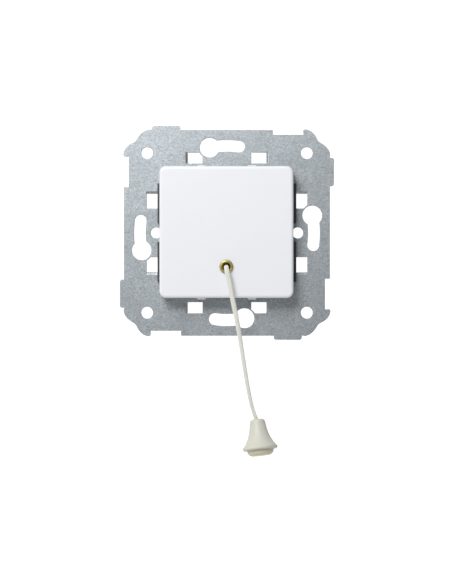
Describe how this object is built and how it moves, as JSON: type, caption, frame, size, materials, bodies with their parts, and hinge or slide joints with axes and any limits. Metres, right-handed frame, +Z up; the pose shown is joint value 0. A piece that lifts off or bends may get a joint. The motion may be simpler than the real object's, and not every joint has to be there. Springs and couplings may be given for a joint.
{
  "type": "pull cord switch",
  "caption": "Flush-mounted pull cord switch: square cover on a sheet steel frame, brass eyelet, cord with a bell pull, and a ratchet switch mechanism behind.",
  "frame": {"origin": "centre of the mounting frame's rear face, on the wall plane", "axes": "+Y into the wall, out of the frame's rear face; +Z up; +X to the right seen from the front"},
  "size_m": [0.0738, 0.0419, 0.1128],
  "materials": {
    "zinc_sheet": "zinc plated, fine mottled satin",
    "white_cover": "smooth semi-gloss white",
    "black_housing": "fine moulded texture",
    "carrier_plastic": "moulded",
    "eyelet_brass": "polished, rolled",
    "cord_fibre": "twisted synthetic cord",
    "bell_ivory": "satin ivory",
    "cap_ivory": "satin, warmer ivory",
    "lever_nylon": "natural nylon",
    "ratchet_nylon": "acetal",
    "rocker_plastic": "thermoset",
    "bright_steel": "ground pin",
    "spring_steel": "drawn wire",
    "screw_zinc": "zinc plated",
    "contact_brass": "stamped",
    "contact_silver": "silver alloy"
  },
  "bodies": {
    "case": {"mounting_frame": "zinc_sheet", "cover_plate": "white_cover", "base_housing": "black_housing", "rear_cover": "black_housing", "mechanism_base": "carrier_plastic", "front_carrier": "carrier_plastic", "eyelet": "eyelet_brass", "cord_guide": "lever_nylon", "case_screws": "screw_zinc", "lever_pin": "bright_steel", "return_spring": "spring_steel", "cam_axle": "bright_steel", "detent_spring": "spring_steel", "rocker_pin": "contact_brass", "contact_spring": "spring_steel", "common_strip": "contact_brass", "upper_contact_strip": "contact_brass", "lower_contact_strip": "contact_brass", "fixed_tips": "contact_silver", "terminal_cage_left": "contact_brass", "terminal_cage_middle": "contact_brass", "terminal_cage_right": "contact_brass", "terminal_screws": "screw_zinc"},
    "cord": {"pull_cord": "cord_fibre"},
    "bell": {"bell_shell": "bell_ivory", "bell_cap": "cap_ivory", "cord_knot": "cord_fibre"},
    "cord_tail": {"inner_cord": "cord_fibre", "cord_ferrule": "eyelet_brass"},
    "lever": {"trip_lever": "lever_nylon", "drive_pawl": "spring_steel"},
    "ratchet": {"ratchet_cam": "ratchet_nylon"},
    "rocker": {"contact_rocker": "rocker_plastic", "moving_contact": "contact_brass", "moving_tips": "contact_silver"}
  },
  "joints": [
    {"name": "cord_swing", "type": "hinge", "parent": "case", "child": "cord", "pos_m": [0, -0.0106, -0.0118], "axis": [0, 1, 0], "range_deg": [-35, 55]},
    {"name": "cord_pull", "type": "slide", "parent": "cord", "child": "bell", "axis": [0.1782, 0, -0.984], "range_m": [0, 0.007], "stiffness_N_per_m": 600, "springref_m": -0.008, "deforming": ["pull_cord"]},
    {"name": "tail_draw", "type": "slide", "parent": "case", "child": "cord_tail", "axis": [0, -1, 0], "range_m": [0, 0.00701], "deforming": ["inner_cord"]},
    {"name": "lever_swing", "type": "hinge", "parent": "case", "child": "lever", "pos_m": [0, 0.0055, 0.0095], "axis": [-1, 0, 0], "range_deg": [0, 18.71], "deforming": ["return_spring"]},
    {"name": "ratchet_turn", "type": "hinge", "parent": "case", "child": "ratchet", "pos_m": [0, 0.015, -0.0003], "axis": [1, 0, 0], "range_deg": [0, 45.05], "deforming": ["detent_spring"]},
    {"name": "rocker_tilt", "type": "hinge", "parent": "case", "child": "rocker", "pos_m": [0, 0.011, -0.0062], "axis": [-1, 0, 0], "range_deg": [0, 11.51], "deforming": ["contact_spring"]}
  ],
  "couplings": [
    {"joint": "tail_draw", "follows": "cord_pull", "ratio": 1},
    {"joint": "lever_swing", "follows": "cord_pull", "rad_per_m": 46.532},
    {"joint": "ratchet_turn", "follows": "cord_pull", "rad_per_m": 112.2},
    {"joint": "rocker_tilt", "follows": "cord_pull", "rad_per_m": 28.571}
  ]
}
